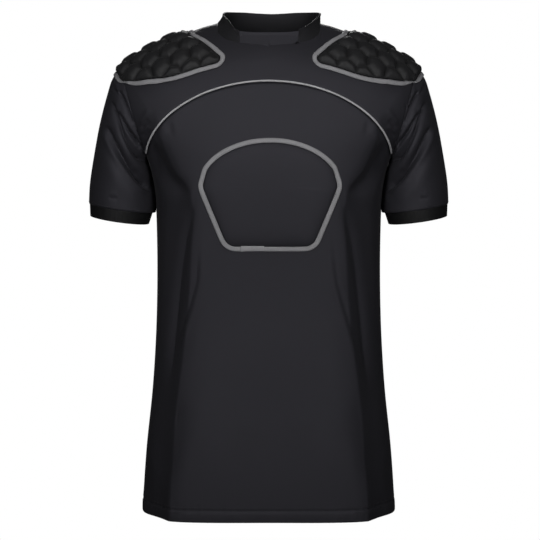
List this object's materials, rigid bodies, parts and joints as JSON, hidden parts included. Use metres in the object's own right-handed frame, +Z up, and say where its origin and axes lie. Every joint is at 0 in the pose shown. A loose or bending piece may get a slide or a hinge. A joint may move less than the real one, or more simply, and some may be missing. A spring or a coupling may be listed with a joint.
{
  "type": "rugby body armour",
  "caption": "Short-sleeved padded rugby top, filled out as if worn: quilted shoulder pads, taped chest pad, piped yoke, stand collar and elastic cuffs.",
  "frame": {"origin": "midway between the two neck points of the shoulder seams, where the wearer's shoulders carry the top", "axes": "+Z up, the front faces -Y, the wearer's left is at +X"},
  "size_m": [0.502, 0.2417, 0.6949],
  "materials": {
    "knit": "smooth dark grey stretch knit with a soft sheen",
    "collar_knit": "matt black knit",
    "elastic": "ribbed black elastic",
    "pad_cloth": "black stretch cloth laminated over moulded foam cells",
    "tape": "light grey flat woven tape"
  },
  "bodies": {
    "root": {"front_panel": "knit", "yoke": "knit", "back_panel": "knit", "sleeve_left": "knit", "sleeve_right": "knit", "cuff_left": "elastic", "cuff_right": "elastic", "collar_front": "knit", "collar_band": "collar_knit", "shoulder_pad_left": "pad_cloth", "shoulder_pad_right": "pad_cloth", "shoulder_tape_left": "tape", "shoulder_tape_right": "tape", "chest_pad": "knit", "chest_tape": "tape", "chest_piping": "tape"}
  },
  "joints": []
}
